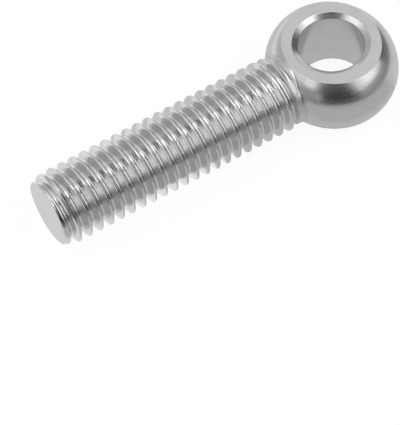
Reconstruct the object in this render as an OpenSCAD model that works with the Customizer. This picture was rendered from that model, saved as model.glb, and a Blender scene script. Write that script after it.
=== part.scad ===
// Eye bolt: a flat-sided ball eye on a threaded shank, one solid.
// Frame: origin on the bore axis at mid thickness, +Z along the bore, +X along the shank to its tip. Units mm.

/* [Eye] */

// Width of the eye across the shank direction
eye_width = 14.3; // [13.6:0.1:15.2]

// Depth of the eye along the shank, a little less than its width
eye_depth = 13.55; // [13:0.05:13.9]

// Thickness between the two flats
eye_thickness = 7.25; // [7.1:0.05:7.8]

// Radius of the bulged rim, seen in section through the bore
rim_radius = 4.65; // [4.2:0.05:5.4]

/* [Bore] */

// Diameter of the plain bore
bore_diameter = 6.9; // [5.8:0.1:7.2]

// Widening of the bore's chamfer, taken on the radius
bore_chamfer_width = 0.58; // [0.2:0.02:0.8]

// Depth of the bore's chamfer along the bore
bore_chamfer_depth = 0.3; // [0.1:0.02:0.6]

/* [Shank] */

// Distance from the bore axis to the tip
shank_length = 33.8; // [26:0.1:60]

// Diameter over the thread crests
thread_diameter = 7.95; // [7.76:0.01:7.97]

// Thread pitch, which sets the depth of the thread and so the neck and the tip
thread_pitch = 1.25; // [1:0.25:1.25]

// Radius of the hollow between the neck and the eye
neck_fillet = 1.1; // [0.6:0.1:1.5]

// Length of the taper at the tip
tip_chamfer = 0.9; // [0.5:0.1:1.4]

/* [Hidden] */

// Fine facets where a curve is shown as a mesh
$fn = 96;

// Half sizes of the eye, whose oval plan is where two round blanks set apart along the shank overlap
half_width = eye_width / 2;
half_depth = eye_depth / 2;
half_thickness = eye_thickness / 2;
blank_radius = (half_width * half_width / half_depth + half_depth) / 2;
blank_offset = blank_radius - half_depth;

// Thread depths from the pitch, as for a metric thread
neck_diameter = thread_diameter - 0.6 * thread_pitch;
core_diameter = thread_diameter - 1.227 * thread_pitch;
tip_diameter = core_diameter + 0.3 * thread_pitch;

// The neck meets the eye where the rim, halfway round the neck, has this distance from the bore axis
rim_drop = rim_radius - sqrt(pow(rim_radius, 2) - pow(0.5 * neck_diameter / 2, 2));
fillet_height = neck_diameter / 2 + neck_fillet;
fillet_reach = half_depth - rim_drop + neck_fillet;
fillet_start = sqrt(pow(fillet_reach, 2) - pow(fillet_height, 2));
fillet_turn = atan2(fillet_height, fillet_start);
neck_length = 0.15 * thread_pitch;
thread_start = fillet_start + neck_length;
thread_full = thread_start + 0.8 * thread_pitch;

// Round blank with a bulged rim, a little taller than the flats
module round_blank() {
    centre = blank_radius - rim_radius;
    tall = half_thickness + 0.2;
    rotate_extrude()
        intersection() {
            translate([0, -tall])
                square([blank_radius + 1, 2 * tall]);
            union() {
                translate([0, -tall])
                    square([centre, 2 * tall]);
                translate([centre, 0])
                    circle(r = rim_radius);
            }
        }
}

// The eye before its flats are cut
module eye_blank() {
    intersection() {
        translate([-blank_offset, 0, 0])
            round_blank();
        translate([blank_offset, 0, 0])
            round_blank();
    }
}

// Everything turned about the shank: blend into the eye, neck, thread envelope and tapered tip
module turned_shank() {
    root = half_depth / 2;
    collar = fillet_height - neck_fillet * sin(fillet_turn);
    rotate([0, 90, 0])
        rotate_extrude()
            difference() {
                polygon([
                    [0, root],
                    [collar, root],
                    [collar, fillet_start],
                    [neck_diameter / 2, fillet_start],
                    [neck_diameter / 2, thread_start],
                    [thread_diameter / 2, thread_full],
                    [thread_diameter / 2, shank_length - tip_chamfer],
                    [tip_diameter / 2, shank_length],
                    [0, shank_length]
                ]);
                intersection() {
                    translate([fillet_height, fillet_start])
                        circle(r = neck_fillet);
                    square([fillet_height, fillet_start]);
                }
            }
}

// Room above and below the eye that leaves its two flats, ending beside the neck
module flat_cuts() {
    reach = thread_start + eye_depth;
    for (side = [1, -1])
        translate([-eye_depth, -eye_width, side > 0 ? half_thickness : -half_thickness - rim_radius])
            cube([reach, 2 * eye_width, rim_radius]);
}

// Through bore with a chamfer at each mouth
module bore() {
    bore_radius = bore_diameter / 2;
    rotate_extrude()
        polygon([
            [0, -half_thickness - 1],
            [bore_radius + bore_chamfer_width, -half_thickness - 1],
            [bore_radius + bore_chamfer_width, -half_thickness],
            [bore_radius, -half_thickness + bore_chamfer_depth],
            [bore_radius, half_thickness - bore_chamfer_depth],
            [bore_radius + bore_chamfer_width, half_thickness],
            [bore_radius + bore_chamfer_width, half_thickness + 1],
            [0, half_thickness + 1]
        ]);
}

module eye_bolt() {
    color([0.72, 0.72, 0.73])
        difference() {
            union() {
                eye_blank();
                turned_shank();
            }
            flat_cuts();
            bore();
        }
}

eye_bolt();
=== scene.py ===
"""A shoulder eye bolt in satin steel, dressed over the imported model.

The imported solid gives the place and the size. One finer piece stands for it here: the same eye with its
flats, bore and neck blend, and the rolled right-hand thread that the solid holds only as its envelope.
The bolt lies along +X with the middle of its eye at the origin. The bolt's lengths are in millimetres.
"""
import math

import bpy
import numpy as np
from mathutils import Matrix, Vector


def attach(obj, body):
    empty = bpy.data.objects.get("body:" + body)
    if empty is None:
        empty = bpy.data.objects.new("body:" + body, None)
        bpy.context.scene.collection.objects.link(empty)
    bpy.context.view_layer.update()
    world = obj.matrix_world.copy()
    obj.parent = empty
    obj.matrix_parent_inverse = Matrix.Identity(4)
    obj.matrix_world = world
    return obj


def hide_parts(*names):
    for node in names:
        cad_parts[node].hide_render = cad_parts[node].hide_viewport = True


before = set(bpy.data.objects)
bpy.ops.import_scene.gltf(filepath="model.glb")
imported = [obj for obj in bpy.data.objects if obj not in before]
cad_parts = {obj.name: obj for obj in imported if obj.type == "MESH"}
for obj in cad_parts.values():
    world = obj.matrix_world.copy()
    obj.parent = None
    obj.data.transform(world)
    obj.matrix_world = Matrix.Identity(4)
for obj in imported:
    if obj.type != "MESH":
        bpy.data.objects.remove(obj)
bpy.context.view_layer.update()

MM = 0.001

# Eye: half sizes of its oval plan along and across the shank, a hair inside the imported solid
HALF_DEPTH = 6.772
HALF_WIDTH = 7.149

# Section radius of the bulged rim, half thickness between the flats, and the round at the flats' edges
RIM = 4.65
HALF_THICK = 3.625
EDGE = 0.05

# Slope of the rim's normal at which that round starts
EDGE_SLOPE = math.asin((HALF_THICK - EDGE) / (RIM - EDGE))

# Bore with its chamfer, and how far the break at each chamfer edge reaches
BORE = 3.45
CHAMFER_WIDTH = 0.58
CHAMFER_DEPTH = 0.3
BREAK = 0.03

# Neck, and its blend into the eye: wide at the eye's sides, tight above and below, where the flats cut it
NECK = 3.6
SIDE_BLEND = 1.1
TOP_BLEND = 0.4

# Where the wide blend turns into the tight one, as the squared sine of the angle round the shank from +Y
BLEND_TURN = (0.3, 0.52)

# Thread: pitch, radius over the crests and in the full groove, and slope of the flanks
PITCH = 1.25
CREST = 3.969
ROOT = 3.205
FLANK = math.radians(30)

# Half width of the groove's flat bottom, the round beside it, and the rounding of the crest's edge
ROOT_FLAT = 0.06
ROOT_ROUND = 0.1
CREST_ROUND = 0.045

# A shallow groove has less of that rounding: the least share of it, and the depth that gives all of it
LEAST_ROUND = 0.02
FULL_DEPTH = 0.3

# The crest on the +Y side that the photograph shows best, and the first one after the neck in line with it
CREST_SEEN = 19.77
CREST_AT = CREST_SEEN - 11 * PITCH

# Run-out: shares of the crest's height and of the groove's depth, and between which places they are gained
CREST_RISE = ((0.4, 5.4, 6.1), (0.6, 6.1, 7.0))
ROOT_FALL = ((0.85, 5.5, 6.7), (0.15, 7.5, 10.5))

# Height above the neck over which the pressed-in thread fades out on the blend
PRESS_FADE = 0.25

# Where the rows along the helix take over from the neck's rings
THREAD_FROM = 6.6

# Tip: its place, radius of its face, and where the taper starts
TIP = 33.8
TIP_RADIUS = 3.4
TAPER_FROM = 31.9

# Small round at the tip's edge, then its face: how far each ring lies before the tip and inside its edge
TIP_EDGE = 0.03
TIP_RINGS = ((0.008, 0.012), (0, 0.05), (0, 0.16), (0, TIP_RADIUS / 2))

# Points round the shank and the eye, and rows across the blend, along the neck and over a flat's edge
ROUND = 120
BLEND_ROWS = 24
NECK_ROWS = 26
EDGE_ROWS = 4

# Rings across the flat, down the bore's wall and down the chamfer between its breaks, as shares of the way
FLAT_RINGS = (0.06, 0.35, 0.65, 0.94, 0.975)
BORE_RINGS = (0.04, 0.2, 0.4, 0.6, 0.8, 0.96)
CHAMFER_RINGS = (0.12, 0.5, 0.88)

# Rows of half a pitch, as distances from the crest: close together on its edge and in the groove's bottom
HALF_PITCH_ROWS = (0, 0.025, 0.045, 0.065, 0.085, 0.11, 0.3, 0.45, 0.485, 0.51, 0.535, 0.56, 0.58, 0.605)

# Angles of the points round the eye
AROUND = [2 * math.pi * i / ROUND for i in range(ROUND)]

# Material of each face, in the order in which the bolt gets its materials
RIM_SKIN, FLAT_SKIN, BORE_SKIN, NECK_SKIN, THREAD_SKIN, TIP_SKIN = range(6)

verts, faces, skins = [], [], []


# Mesh helpers
def add(x, y, z):
    """A new point. Returns its number."""
    verts.append((float(x), float(y), float(z)))
    return len(verts) - 1


def add_round(x, radius, theta):
    """A new point round the shank's axis."""
    return add(x, radius * math.cos(theta), radius * math.sin(theta))


def level_ring(radius, height):
    """A ring of new points round the bore's axis."""
    return [add(radius * math.cos(t), radius * math.sin(t), height) for t in AROUND]


def face(corners, skin):
    """A face without repeated corners."""
    corners = [v for i, v in enumerate(corners) if v != corners[i - 1]]
    if len(corners) > 2:
        faces.append(corners)
        skins.append(skin)


def strips(rows, skin, closed=True, flip=False):
    """Faces between each row and the next, which have as many points."""
    for a, b in zip(rows, rows[1:]):
        for i in range(len(a) if closed else len(a) - 1):
            k = (i + 1) % len(a)
            corners = [a[i], a[k], b[k], b[i]]
            face(corners[::-1] if flip else corners, skin)


def smooth(x, a, b):
    """0 up to a, 1 from b on, and an even turn between them."""
    s = min(1, max(0, (x - a) / (b - a)))
    return s * s * (3 - 2 * s)


def soft_min(a, b, k):
    """The lesser of two values, rounded where they differ by less than k."""
    h = max(0, k - abs(a - b)) / k
    return min(a, b) - h * h * k / 4


# Eye
def rim_point(t, phi):
    """Place and outward normal on the rim. t runs round the eye, and phi is the slope of the normal."""
    nx, ny = math.cos(t) / HALF_DEPTH, math.sin(t) / HALF_WIDTH
    size = math.hypot(nx, ny)
    nx, ny = nx / size, ny / size
    side = 1 if phi >= 0 else -1
    a = abs(phi)
    if a <= EDGE_SLOPE:
        out, up = RIM * (math.cos(a) - 1), RIM * math.sin(a)
    else:
        out = -RIM + (RIM - EDGE) * math.cos(EDGE_SLOPE) + EDGE * math.cos(a)
        up = (RIM - EDGE) * math.sin(EDGE_SLOPE) + EDGE * math.sin(a)
    place = np.array([HALF_DEPTH * math.cos(t) + out * nx, HALF_WIDTH * math.sin(t) + out * ny, side * up])
    return place, np.array([nx * math.cos(a), ny * math.cos(a), side * math.sin(a)])


def blend_radius(theta):
    """Radius of the hollow between neck and eye, at an angle round the shank."""
    return SIDE_BLEND + (TOP_BLEND - SIDE_BLEND) * smooth(math.sin(theta) ** 2, *BLEND_TURN)


def seat(theta, guess):
    """Where a ball of the blend's radius, rolling round the neck, touches the rim in the plane at theta.

    Found by Newton's method from a guess. Returns t and phi of the touching point, and how far along the
    shank the ball's centre is.
    """
    c, s, blend = math.cos(theta), math.sin(theta), blend_radius(theta)
    tries, nudge, longest, close_enough, tiny = 60, 1e-7, 0.15, 1e-11, 1e-12

    def miss(v):
        p, n = rim_point(*v)
        across = n[1] * c + n[2] * s
        reach = blend * across / math.hypot(n[0], across)
        return np.array([p[2] * c - p[1] * s, p[1] * c + p[2] * s + reach - NECK - blend])

    v = np.array(guess, float)
    for _ in range(tries):
        f = miss(v)
        if abs(f).max() < close_enough:
            break
        slope = np.array([(miss(v + [nudge, 0]) - f) / nudge, (miss(v + [0, nudge]) - f) / nudge]).T
        d = np.linalg.solve(slope, -f)
        v = v + d * min(1, longest / max(abs(d).max(), tiny))
    p, n = rim_point(*v)
    across = n[1] * c + n[2] * s
    return v[0], v[1], p[0] + blend * n[0] / math.hypot(n[0], across)


def blend_seats():
    """Seats (theta, t, phi, centre) from straight down, over +Y, to straight up.

    The first search starts at a place on the rim near the neck, the others where the last two seats point.
    """
    upper, guess = [], (0.5, 0.0)
    for j in range(ROUND // 4 + 1):
        theta = 2 * math.pi * j / ROUND
        t, phi, centre = seat(theta, guess)
        upper.append((theta, t, phi, centre))
        guess = (t, phi) if j < 2 else (2 * t - upper[-2][1], 2 * phi - upper[-2][2])
    upper[-1] = (math.pi / 2, 0.0, upper[-1][2], upper[-1][3])
    return [(-a, t, -p, x) for a, t, p, x in upper[:0:-1]] + upper


def build_rim(seats):
    """Rim rows from below to above, each from one side of the neck blend round the eye to the other."""
    rows = []
    for theta, t0, phi, centre in seats:
        span = 2 * math.pi - 2 * t0
        count = ROUND + 1 if t0 > 0 else ROUND
        row = [add(*rim_point(t0 + span * i / ROUND, phi)[0]) for i in range(count)]
        rows.append(row if t0 > 0 else row + [row[0]])
    strips(rows, RIM_SKIN, closed=False)
    return rows


def chamfer_profile():
    """Radius and height of each ring from the flat, over chamfer and breaks, to the bore's wall."""
    mouth, wall = BORE + CHAMFER_WIDTH, HALF_THICK - CHAMFER_DEPTH
    slant = math.hypot(CHAMFER_WIDTH, CHAMFER_DEPTH)
    across, down = CHAMFER_WIDTH / slant * BREAK, CHAMFER_DEPTH / slant * BREAK
    start, middle, sunk = BREAK * 0.9, BREAK * 0.25, BREAK * 0.06
    steep, shallow = 0.75, 0.6
    profile = [(mouth + start, HALF_THICK), (mouth + middle, HALF_THICK - sunk)]
    profile.append((mouth - across * shallow, HALF_THICK - down * steep))
    profile += [(mouth - CHAMFER_WIDTH * k, HALF_THICK - CHAMFER_DEPTH * k) for k in CHAMFER_RINGS]
    profile.append((BORE + across * steep, wall + down * shallow))
    profile += [(BORE + sunk, wall - middle), (BORE, wall - start)]
    return profile


def build_face(start, side, phi_from):
    """Edge round, flat and chamfer on one side of the eye. Returns the ring at the bore's wall."""
    edge = [start]
    for phi in np.linspace(phi_from, math.pi / 2, EDGE_ROWS + 1)[1:]:
        edge.append([add(*rim_point(t, side * phi)[0]) for t in AROUND])
    strips(edge, RIM_SKIN, flip=side < 0)

    mouth = BORE + CHAMFER_WIDTH
    outer = [np.array(verts[v]) for v in edge[-1]]
    inner = [np.array([mouth * math.cos(t), mouth * math.sin(t), side * HALF_THICK]) for t in AROUND]
    flat = [edge[-1]]
    for k in FLAT_RINGS:
        flat.append([add(*(p + (q - p) * k)) for p, q in zip(outer, inner)])
    strips(flat, FLAT_SKIN, flip=side < 0)

    chamfer = [flat[-1]] + [level_ring(radius, side * height) for radius, height in chamfer_profile()]
    strips(chamfer, BORE_SKIN, flip=side < 0)
    return chamfer[-1]


def build_bore(upper, lower):
    """The bore's wall between the chamfers' last rings."""
    high = verts[upper[0]][2]
    rings = [level_ring(BORE, high * (1 - 2 * k)) for k in BORE_RINGS]
    strips([upper] + rings + [lower], BORE_SKIN)


# Shank
def gained(x, steps):
    """Sum of the shares gained up to x."""
    return sum(share * smooth(x, a, b) for share, a, b in steps)


def thread_radius(x, theta):
    """Distance of the rolled surface from the axis. Crest and groove grow out of the neck."""
    turns = (x - CREST_AT) / PITCH - theta / (2 * math.pi)
    from_root = abs(turns - math.floor(turns) - 0.5) * PITCH
    crest = NECK + (CREST - NECK) * gained(x, CREST_RISE)
    root = NECK - (NECK - ROOT) * gained(x, ROOT_FALL)
    from_flat = max(0, from_root - ROOT_FLAT)
    round_end = ROOT_ROUND * math.cos(FLANK)
    if from_flat < round_end:
        height = root + ROOT_ROUND - math.sqrt(ROOT_ROUND ** 2 - from_flat ** 2)
    else:
        height = root + ROOT_ROUND * (1 - math.sin(FLANK)) + (from_flat - round_end) / math.tan(FLANK)
    taper = CREST - (CREST - TIP_RADIUS) * (max(0, x - TAPER_FROM) / (TIP - TAPER_FROM)) ** 2
    edge = CREST_ROUND * min(1, LEAST_ROUND + (crest - root) / FULL_DEPTH)
    return min(soft_min(height, crest, edge), taper)


def neck_point(theta, centre, touch, step):
    """A new point in the plane at theta. Its first steps follow the rolling ball, the others the neck."""
    blend = blend_radius(theta)
    rho = touch[1] * math.cos(theta) + touch[2] * math.sin(theta)
    a = math.atan2(rho - NECK - blend, touch[0] - centre)
    a = a if a < 0 else a - 2 * math.pi
    a += (-math.pi / 2 - a) * min(1, step / BLEND_ROWS)
    along = centre + blend * math.cos(a)
    along += (THREAD_FROM - centre) * max(0, step - BLEND_ROWS) / NECK_ROWS
    hollow = blend * (1 + math.sin(a))
    pressed = (thread_radius(along, theta) - NECK) * (1 - smooth(hollow, 0, PRESS_FADE))
    return add_round(along, NECK + hollow + pressed, theta)


def build_neck(seats, rim_rows):
    """The blend and the neck, with the thread's run-out pressed in.

    Returns the angles of the planes through the shank's axis, and the ring where the helix rows take over.
    """
    planes = [(theta, centre) for theta, t, phi, centre in seats]
    planes += [(math.pi - theta, centre) for theta, centre in planes[-2:0:-1]]
    start = [row[0] for row in rim_rows] + [row[-1] for row in rim_rows[-2:0:-1]]
    rows = [start]
    for step in range(1, BLEND_ROWS + NECK_ROWS + 1):
        rows.append([neck_point(*plane, verts[first], step) for plane, first in zip(planes, start)])
    strips(rows, NECK_SKIN)
    return [theta for theta, centre in planes], rows[-1]


def build_thread(angles, neck_ring):
    """Rows along the helix, cut off by the neck's last ring and by one near the tip, which it returns."""
    phases = [d / PITCH for d in HALF_PITCH_ROWS] + [0.5] + [1 - d / PITCH for d in HALF_PITCH_ROWS[1:]]
    turns = range(-2, int((TIP - CREST_AT) / PITCH) + 3)
    helix = [turn + phase for turn in turns for phase in sorted(phases)]
    last = TIP - TIP_EDGE
    digits = 6
    known = {(j, round(THREAD_FROM, digits)): v for j, v in enumerate(neck_ring)}

    def vertex(j, x):
        x = min(last, max(THREAD_FROM, x))
        key = (j, round(x, digits))
        if key not in known:
            known[key] = add_round(x, thread_radius(x, angles[j]), angles[j])
        return known[key]

    def column(j, turn=0):
        return [vertex(j, CREST_AT + PITCH * (h + turn + angles[j] / (2 * math.pi))) for h in helix]

    grid = [column(j) for j in range(ROUND)] + [column(0, turn=1)]
    for a, b in zip(grid, grid[1:]):
        for i in range(len(helix) - 1):
            face([a[i], b[i], b[i + 1], a[i + 1]], THREAD_SKIN)
    return [vertex(j, last) for j in range(ROUND)]


def build_tip(ring, angles):
    """A tiny round, then the sawn-off and faced end."""
    reach = [min(math.hypot(*verts[v][1:]), TIP_RADIUS) for v in ring]
    rows = [ring]
    for before, inward in TIP_RINGS:
        rows.append([add_round(TIP - before, r - inward, a) for r, a in zip(reach, angles)])
    strips(rows, TIP_SKIN)
    hub = add(TIP, 0, 0)
    for j in range(ROUND):
        face([rows[-1][j], rows[-1][(j + 1) % ROUND], hub], TIP_SKIN)


def build_bolt():
    """The whole bolt as one closed mesh."""
    seats = blend_seats()
    rim_rows = build_rim(seats)
    phi = seats[-1][2]
    upper = build_face(rim_rows[-1][:-1], 1, phi)
    lower = build_face(rim_rows[0][:-1], -1, phi)
    build_bore(upper, lower)
    angles, neck_ring = build_neck(seats, rim_rows)
    build_tip(build_thread(angles, neck_ring), angles)
    mesh = bpy.data.meshes.new("eye_bolt_steel")
    mesh.from_pydata([(x * MM, y * MM, z * MM) for x, y, z in verts], [], faces)
    for polygon, skin in zip(mesh.polygons, skins):
        polygon.use_smooth = True
        polygon.material_index = skin
    piece = bpy.data.objects.new("eye_bolt_steel", mesh)
    bpy.context.scene.collection.objects.link(piece)
    return piece


# Steel: tone of the turned faces, of the neck and of the rolled thread
TONE = 0.64
NECK_TONE = TONE - 0.04
ROLLED_TONE = 0.68

# How far tone and roughness wander either way, scale of the tone's clouds, and the noise's middle range
TONE_SPREAD = 0.02
GLOSS_SPREAD = 0.03
CLOUD = 0.55
NOISE_LOW, NOISE_HIGH = 0.3, 0.7


def scaled(nodes, links, scale):
    """Object coordinates in millimetres, multiplied by scale along each axis."""
    place = nodes.new("ShaderNodeTexCoord")
    mapping = nodes.new("ShaderNodeMapping")
    mapping.inputs["Scale"].default_value = [s / MM for s in scale]
    links.new(place.outputs["Object"], mapping.inputs["Vector"])
    return mapping.outputs["Vector"]


def noise(nodes, links, scale, detail=3.0):
    """Noise with so many features to the millimetre along each axis."""
    texture = nodes.new("ShaderNodeTexNoise")
    texture.inputs["Scale"].default_value = 1
    texture.inputs["Detail"].default_value = detail
    links.new(scaled(nodes, links, scale), texture.inputs["Vector"])
    return texture.outputs["Fac"]


def spread(nodes, links, value, low, high):
    """A noise's middle range stretched from low to high."""
    stretch = nodes.new("ShaderNodeMapRange")
    stretch.inputs["From Min"].default_value = NOISE_LOW
    stretch.inputs["From Max"].default_value = NOISE_HIGH
    stretch.inputs["To Min"].default_value = low
    stretch.inputs["To Max"].default_value = high
    links.new(value, stretch.inputs["Value"])
    return stretch.outputs["Result"]


def steel(name, tone, roughness, lines, lines_depth, grain, grain_depth):
    """Satin steel: faint clouds in its tone, tool lines with a scale along each axis, and a fine grain.

    The lines wander in gloss as well as in height. Depths are in millimetres.
    """
    material = bpy.data.materials.new(name)
    material.use_nodes = True
    nodes, links = material.node_tree.nodes, material.node_tree.links
    shader = nodes["Principled BSDF"]
    shader.inputs["Metallic"].default_value = 1

    cloud = noise(nodes, links, (CLOUD, CLOUD, CLOUD))
    mix = nodes.new("ShaderNodeMix")
    mix.data_type = "RGBA"
    dark, light = tone - TONE_SPREAD, tone + TONE_SPREAD
    mix.inputs["A"].default_value = (dark, dark, dark, 1)
    mix.inputs["B"].default_value = (light, light, light, 1)
    links.new(spread(nodes, links, cloud, 0, 1), mix.inputs["Factor"])
    links.new(mix.outputs["Result"], shader.inputs["Base Color"])

    streak = noise(nodes, links, lines, detail=2.0)
    gloss = spread(nodes, links, streak, roughness - GLOSS_SPREAD, roughness + GLOSS_SPREAD)
    links.new(gloss, shader.inputs["Roughness"])

    fine = noise(nodes, links, (grain, grain, grain))
    for height, depth in ((streak, lines_depth), (fine, grain_depth)):
        bump = nodes.new("ShaderNodeBump")
        bump.inputs["Distance"].default_value = depth * MM
        links.new(height, bump.inputs["Height"])
        if shader.inputs["Normal"].is_linked:
            links.new(shader.inputs["Normal"].links[0].from_socket, bump.inputs["Normal"])
        links.new(bump.outputs["Normal"], shader.inputs["Normal"])
    return material


def rim_steel():
    """Turned round the bore's axis, so its lines run round the rim."""
    lines = (0.15, 0.15, 5)
    return steel("steel_rim", TONE, 0.25, lines, lines_depth=0.003, grain=1.6, grain_depth=0.004)


def flat_steel():
    """Faced flats with short lines along the shank."""
    lines = (0.9, 6, 1)
    return steel("steel_flat", TONE, 0.25, lines, lines_depth=0.0015, grain=2.2, grain_depth=0.002)


def bore_steel():
    """Bored, with lines round the wall."""
    lines = (0.3, 0.3, 4)
    return steel("steel_bore", TONE, 0.25, lines, lines_depth=0.003, grain=1.6, grain_depth=0.003)


def neck_steel():
    """A duller neck, as forged."""
    lines = (1.5, 0.5, 0.5)
    return steel("steel_neck", NECK_TONE, 0.34, lines, lines_depth=0.003, grain=1.8, grain_depth=0.01)


def thread_steel():
    """The rolled thread: brighter and glossier, with fine lines along the helix and a rolled grain."""
    lines = (4, 0.3, 0.3)
    return steel("steel_thread", ROLLED_TONE, 0.17, lines, lines_depth=0.006, grain=4, grain_depth=0.016)


def tip_steel():
    """The sawn tip's face, with level lines."""
    lines = (1, 1.2, 5)
    return steel("steel_tip", TONE, 0.27, lines, lines_depth=0.002, grain=2.0, grain_depth=0.003)


# Camera, from a perspective fit to the photograph
PICTURE_HEIGHT = 425
FOCAL_PIXELS = 3000
SENSOR = 36
CAMERA_AT = (0.10309046, 0.16065554, 0.24251669)
CAMERA_TURN = (35.42701, 2.53738, 148.14406)


def build_camera():
    """The sensor's size spans the picture's height, which is its longer side."""
    lens = bpy.data.cameras.new("camera")
    lens.sensor_width = SENSOR
    lens.lens = FOCAL_PIXELS / PICTURE_HEIGHT * lens.sensor_width
    lens.clip_start, lens.clip_end = 0.01, 10
    camera = bpy.data.objects.new("camera", lens)
    camera.location = CAMERA_AT
    camera.rotation_euler = [math.radians(a) for a in CAMERA_TURN]
    bpy.context.scene.collection.objects.link(camera)
    bpy.context.scene.camera = camera
    bpy.context.scene.view_settings.view_transform = "Standard"


# Studio: light of the room, and the paper's tone under that light and to the eye
ROOM_LIGHT = 0.35
PAPER_TONE = 0.22
PAPER_GLOW = 0.9

# Floor just under the crests, its half size, and the lift from one ring of painted shade on it to the
# next, in metres
FLOOR = -CREST * MM - 0.00001
FLOOR_REACH = 1.5
LIFT = 0.00001

# Distances of the cards from the bolt in metres: a nearer card covers what is behind it
DARK_UPPER, SOFT_TOP, SOFT_CORE, SOFT_BOX = 0.42, 0.43, 0.44, 0.45
FRONT, LOW, GREY, FAR_GREY = 0.6, 0.65, 0.66, 0.67
HORIZON, BACKDROP, CEILING = 0.69, 0.7, 0.75


def towards(azimuth, elevation):
    """Unit vector from the bolt; azimuth from +X towards +Y, both in degrees."""
    a, e = math.radians(azimuth), math.radians(elevation)
    return Vector((math.cos(a) * math.cos(e), math.sin(a) * math.cos(e), math.sin(e)))


def grey(value):
    """A neutral colour."""
    return (value, value, value, 1)


def light_path(nodes):
    """1 for camera, glossy and transmission rays, so that metal shows the background too."""
    links = nodes.id_data.links
    path = nodes.new("ShaderNodeLightPath")
    first = nodes.new("ShaderNodeMath")
    first.operation = "MAXIMUM"
    second = nodes.new("ShaderNodeMath")
    second.operation = "MAXIMUM"
    links.new(path.outputs["Is Camera Ray"], first.inputs[0])
    links.new(path.outputs["Is Glossy Ray"], first.inputs[1])
    links.new(first.outputs[0], second.inputs[0])
    links.new(path.outputs["Is Transmission Ray"], second.inputs[1])
    return second.outputs[0]


def build_world():
    """An even, soft room light, and a white backdrop for the camera and for the metal."""
    world = bpy.data.worlds.new("studio")
    world.use_nodes = True
    bpy.context.scene.world = world
    world.cycles.sampling_method = "NONE"
    nodes, links = world.node_tree.nodes, world.node_tree.links
    room = nodes["Background"]
    room.inputs["Color"].default_value = grey(1)
    room.inputs["Strength"].default_value = ROOM_LIGHT
    backdrop = nodes.new("ShaderNodeBackground")
    backdrop.inputs["Color"].default_value = grey(1)
    backdrop.inputs["Strength"].default_value = 1
    either = nodes.new("ShaderNodeMixShader")
    links.new(light_path(nodes), either.inputs[0])
    links.new(room.outputs[0], either.inputs[1])
    links.new(backdrop.outputs[0], either.inputs[2])
    links.new(either.outputs[0], nodes["World Output"].inputs["Surface"])


def white_paper():
    """Paper that keeps the bolt's shadow and still looks white."""
    paper = bpy.data.materials.new("white_paper")
    paper.use_nodes = True
    paper.cycles.emission_sampling = "NONE"
    nodes, links = paper.node_tree.nodes, paper.node_tree.links
    nodes.remove(nodes["Principled BSDF"])
    matt = nodes.new("ShaderNodeBsdfDiffuse")
    matt.inputs["Color"].default_value = grey(PAPER_TONE)
    glow = nodes.new("ShaderNodeEmission")
    glow.inputs["Color"].default_value = grey(PAPER_GLOW)
    links.new(light_path(nodes), glow.inputs["Strength"])
    both = nodes.new("ShaderNodeAddShader")
    links.new(matt.outputs[0], both.inputs[0])
    links.new(glow.outputs[0], both.inputs[1])
    links.new(both.outputs[0], nodes["Material Output"].inputs["Surface"])
    return paper


def build_floor():
    """One large sheet of paper."""
    mesh = bpy.data.meshes.new("floor")
    corners = [(x * FLOOR_REACH, y * FLOOR_REACH, FLOOR) for x, y in ((-1, -1), (1, -1), (1, 1), (-1, 1))]
    mesh.from_pydata(corners, [], [(0, 1, 2, 3)])
    floor = bpy.data.objects.new("floor", mesh)
    bpy.context.scene.collection.objects.link(floor)
    mesh.materials.append(white_paper())


def even_glow(name, radiance):
    """A material that only glows."""
    material = bpy.data.materials.new(name)
    material.use_nodes = True
    nodes, links = material.node_tree.nodes, material.node_tree.links
    nodes.remove(nodes["Principled BSDF"])
    glow = nodes.new("ShaderNodeEmission")
    glow.inputs["Color"].default_value = grey(radiance)
    links.new(glow.outputs[0], nodes["Material Output"].inputs["Surface"])
    return material


def stage_card(name, points, quads, radiance, lamp=False):
    """A card that the metal reflects, out of the camera's sight and without shadow.

    A lamp lights the paper too.
    """
    mesh = bpy.data.meshes.new(name)
    mesh.from_pydata(points, [], quads)
    mesh.materials.append(even_glow(name, radiance))
    card = bpy.data.objects.new(name, mesh)
    bpy.context.scene.collection.objects.link(card)
    card.visible_camera = False
    card.visible_diffuse = lamp
    card.visible_shadow = False


def sky_card(name, corners, radiance, distance, steps=8, lamp=False):
    """A patch of the sphere round the bolt between four (azimuth, elevation) corners in degrees."""
    points = []
    for i in range(steps + 1):
        for j in range(steps + 1):
            u, v = i / steps, j / steps
            weights = ((1 - u) * (1 - v), u * (1 - v), u * v, (1 - u) * v)
            azimuth = sum(w * c[0] for w, c in zip(weights, corners))
            elevation = sum(w * c[1] for w, c in zip(weights, corners))
            points.append(towards(azimuth, elevation) * distance)
    quads = []
    for i in range(steps):
        for j in range(steps):
            k = i * (steps + 1) + j
            quads.append((k, k + steps + 1, k + steps + 2, k + 1))
    stage_card(name, points, quads, radiance, lamp)


def painted_floor_shade(name, near, far, azimuths, level, radiance, steps=24):
    """A sector of painted shade over the table's top round the eye, from near to far in metres, some lifts
    off the floor.
    """
    points, quads = [], []
    for i in range(steps + 1):
        way = towards(azimuths[0] + (azimuths[1] - azimuths[0]) * i / steps, 0)
        for reach in (near, far):
            points.append((way.x * reach, way.y * reach, FLOOR + level * LIFT))
        if i:
            quads.append((2 * i - 2, 2 * i - 1, 2 * i + 1, 2 * i))
    stage_card(name, points, quads, radiance)


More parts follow.
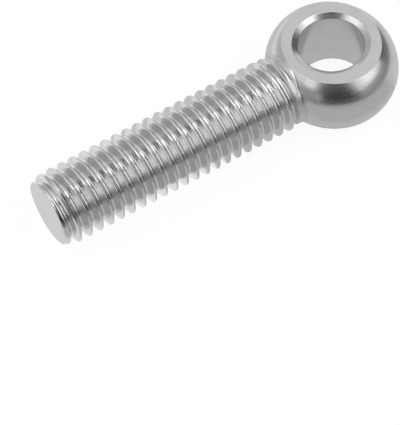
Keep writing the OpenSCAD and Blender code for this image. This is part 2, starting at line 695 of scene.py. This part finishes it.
def build_soft_boxes():
    """The lights: one on each side of the camera with brighter patches, and one high up over the eye."""
    sky_card("soft_box_right", [(-34, 28), (24, 28), (18, 71), (-40, 71)], 0.95, SOFT_BOX, lamp=True)
    sky_card("soft_box_right_low", [(2, 26), (21, 26), (19, 52), (4, 52)], 1.33, SOFT_CORE)
    sky_card("soft_box_right_high", [(-48, 50), (-8, 50), (-14, 72), (-56, 72)], 1.5, SOFT_CORE)
    sky_card("soft_box_left", [(99, 17), (147, 17), (170, 62), (88, 62)], 0.97, SOFT_BOX, lamp=True)
    sky_card("soft_box_left_core", [(117, 20), (144, 20), (165, 62), (113, 62)], 1.36, SOFT_CORE)
    sky_card("soft_box_top", [(124, 59), (214, 59), (214, 84), (145, 84)], 2.3, SOFT_TOP)


def build_dark_cards():
    """The dark of the studio round the camera, and behind the eye."""
    sky_card("dark_front_low", [(34, 17), (86, 17), (86, 34), (34, 34)], 0.04, FRONT)
    sky_card("dark_front", [(34, 34), (84, 34), (84, 68), (34, 68)], 0.1, FRONT)
    sky_card("dark_front_right", [(24, 17), (34, 17), (34, 68), (20, 68)], 0.23, FRONT)
    sky_card("dark_front_left", [(86, 17), (99, 17), (89, 68), (84, 68)], 0.24, FRONT)
    sky_card("dark_upper", [(12, 62), (123, 62), (136, 88), (-16, 88)], 0.05, DARK_UPPER)
    sky_card("dark_low", [(34, -5), (86, -5), (86, 17), (34, 17)], 0.03, LOW)
    sky_card("dark_low_left", [(86, -5), (99, -5), (99, 17), (86, 17)], 0.1, LOW)
    sky_card("dark_back", [(160, 9), (203, 9), (212, 58), (175, 58)], 0.088, GREY)


def build_grey_cards():
    """The room's walls below the lights, its ceiling and the lit backdrop."""
    sky_card("grey_low_right", [(-5, -5), (34, -5), (26, 29), (-5, 29)], 0.37, GREY)
    sky_card("grey_far_right", [(-33, -5), (-5, -5), (-5, 30), (-33, 30)], 0.8, FAR_GREY)
    sky_card("grey_low_left", [(99, -5), (165, -5), (165, 17), (99, 17)], 0.36, GREY, steps=16)
    sky_card("grey_low_back", [(165, -5), (205, -5), (205, 9), (165, 9)], 0.2, GREY, steps=16)
    sky_card("grey_top", [(-180, 67), (180, 67), (180, 90), (-180, 90)], 0.647, CEILING, steps=24)
    sky_card("backdrop_low", [(-150, -2), (-33, -2), (-33, 44), (-150, 44)], 0.56, BACKDROP)
    sky_card("backdrop_horizon", [(-150, -3), (-104, -3), (-104, 15), (-150, 15)], 0.95, HORIZON)
    sky_card("backdrop_high", [(-160, 44), (-33, 44), (-33, 67), (-160, 67)], 0.83, BACKDROP)


def build_painted_floor_shade():
    """The table's top as the metal sees it, with painted shade: a painted shadow ring under the bore,
    painted dark far off, lighter in between.
    """
    # Painted shade: cards darker than the paper, out of the camera's sight, paint the bolt's shadow on the
    # table for the metal to reflect, with a dark strip far off
    painted_floor_shade("painted_dark_far_table", 0.046, 0.6, (-5, 205), 20, 0.21)
    painted_floor_shade("painted_shade_near", 0.0086, 0.046, (9, 143), 2, 0.59)
    painted_floor_shade("painted_shade_left", 0.0086, 0.046, (143, 205), 2, 0.75)
    painted_floor_shade("painted_shade_tip", 0.026, 0.06, (-20, 9), 2, 0.86)
    painted_floor_shade("painted_shade_under", 0, 0.0086, (0, 360), 1, 0.64)
    painted_floor_shade("painted_shadow_ring", 0.0034, 0.006, (0, 360), 3, 0.25)
    painted_floor_shade("painted_shade_back", 0.0086, 0.03, (205, 340), 1, 0.72)


bolt = build_bolt()
for finish in (rim_steel, flat_steel, bore_steel, neck_steel, thread_steel, tip_steel):
    bolt.data.materials.append(finish())
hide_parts("eye_bolt")
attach(bolt, "root")

build_camera()
build_world()
build_floor()
build_soft_boxes()
build_dark_cards()
build_grey_cards()
build_painted_floor_shade()
